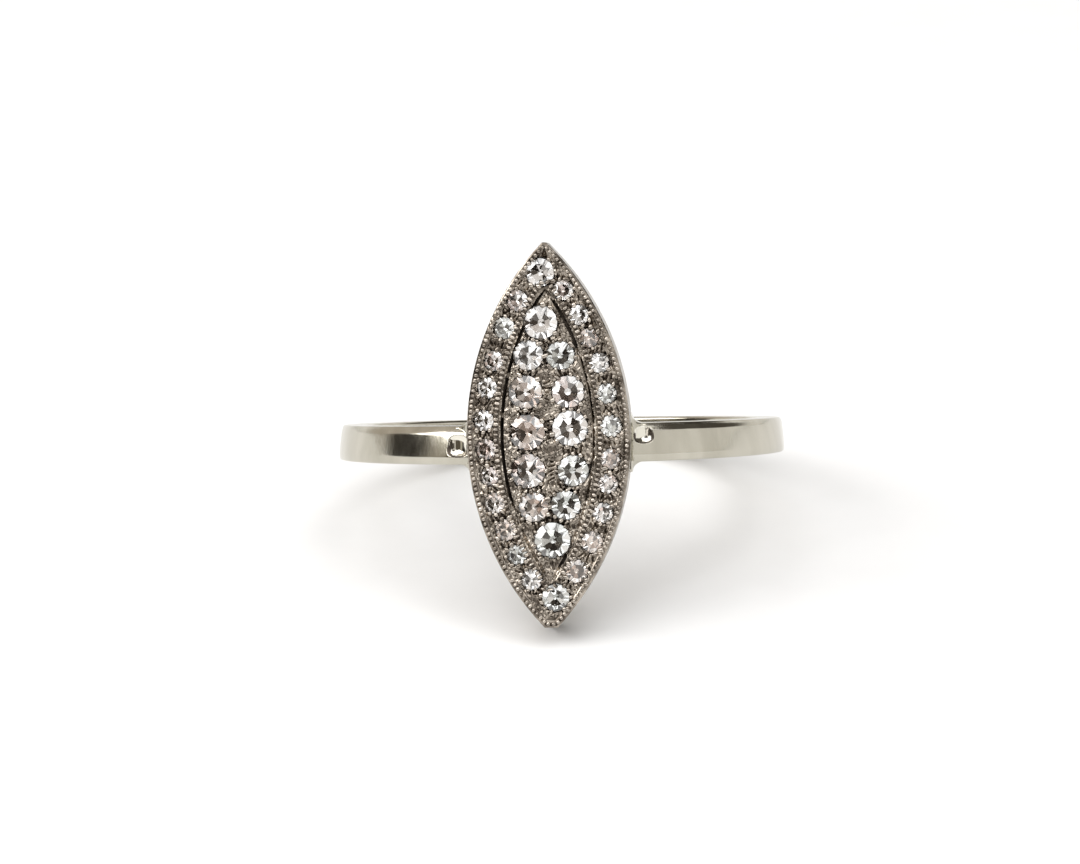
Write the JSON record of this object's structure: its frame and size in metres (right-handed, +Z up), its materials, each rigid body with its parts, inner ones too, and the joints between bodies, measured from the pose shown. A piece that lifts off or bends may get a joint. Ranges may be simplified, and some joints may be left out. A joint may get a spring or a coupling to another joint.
{
  "type": "navette ring",
  "caption": "Finger ring with a long pointed head of small single-cut stones in two fields, milled rims and a plain tapering shank, lying on its side.",
  "frame": {"origin": "middle of the footprint on the surface that the ring lies on", "axes": "+Z up, the face of the head looks along -Y and tips back, +X to the right of someone who looks at the head, and the finger's axis leans back from +Z towards +Y by the resting tilt"},
  "size_m": [0.0194, 0.0226, 0.016],
  "materials": {
    "white_gold": "polished shank, aged and satin on the head",
    "diamond": "faceted and polished"
  },
  "bodies": {
    "root": {"mount": "white_gold", "centre_stone_01": "diamond", "centre_stone_02": "diamond", "centre_stone_03": "diamond", "centre_stone_04": "diamond", "centre_stone_05": "diamond", "centre_stone_06": "diamond", "centre_stone_07": "diamond", "centre_stone_08": "diamond", "centre_stone_09": "diamond", "centre_stone_10": "diamond", "centre_stone_11": "diamond", "centre_stone_12": "diamond", "border_stone_01": "diamond", "border_stone_02": "diamond", "border_stone_03": "diamond", "border_stone_04": "diamond", "border_stone_05": "diamond", "border_stone_06": "diamond", "border_stone_07": "diamond", "border_stone_08": "diamond", "border_stone_09": "diamond", "border_stone_10": "diamond", "border_stone_11": "diamond", "border_stone_12": "diamond", "border_stone_13": "diamond", "border_stone_14": "diamond", "border_stone_15": "diamond", "border_stone_16": "diamond", "border_stone_17": "diamond", "border_stone_18": "diamond", "border_stone_19": "diamond", "border_stone_20": "diamond", "border_stone_21": "diamond", "border_stone_22": "diamond", "tip_stone_01": "diamond", "tip_stone_02": "diamond"}
  },
  "joints": []
}
